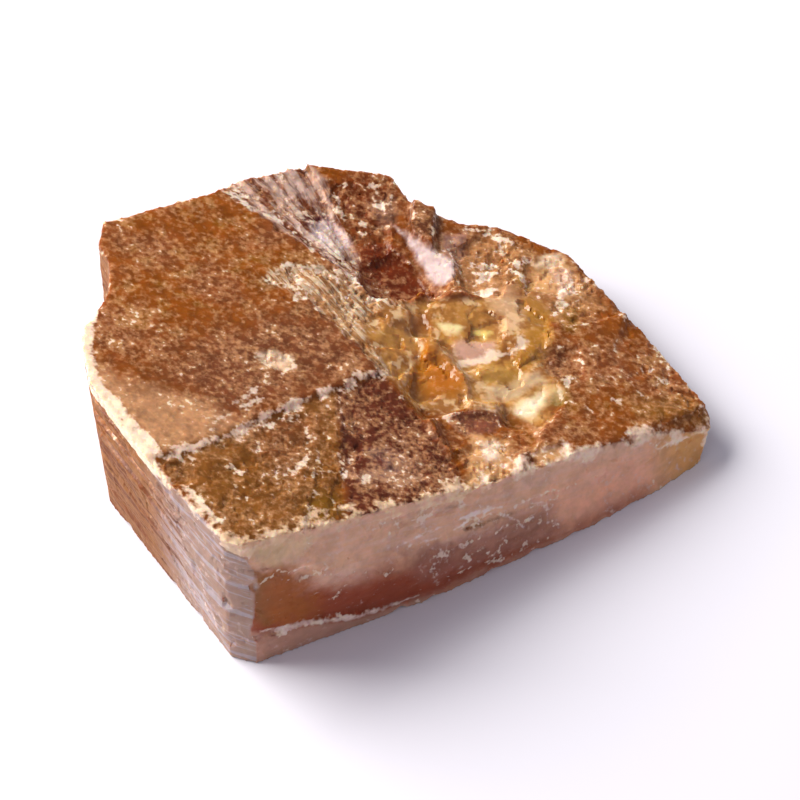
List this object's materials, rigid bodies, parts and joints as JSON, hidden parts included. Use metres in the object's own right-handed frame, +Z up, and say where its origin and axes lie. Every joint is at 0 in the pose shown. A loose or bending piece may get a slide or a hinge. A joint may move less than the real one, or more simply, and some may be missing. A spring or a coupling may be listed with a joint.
{
  "type": "honey calcite",
  "caption": "Rough block of honey calcite with a flat speckled top, a splintered golden window, a dark hollow and a layered side. It lies on its flat underside.",
  "frame": {"origin": "middle of the footprint's bounding box, at the height of the flat underside", "axes": "+X along the longest side towards the thin end, +Y away from the tall front face, +Z up"},
  "size_m": [0.0604, 0.055, 0.0197],
  "materials": {
    "calcite": "broken calcite: satin cleavage faces, frosted sides and bruised white edges"
  },
  "bodies": {
    "root": {"calcite_block": "calcite"}
  },
  "joints": []
}
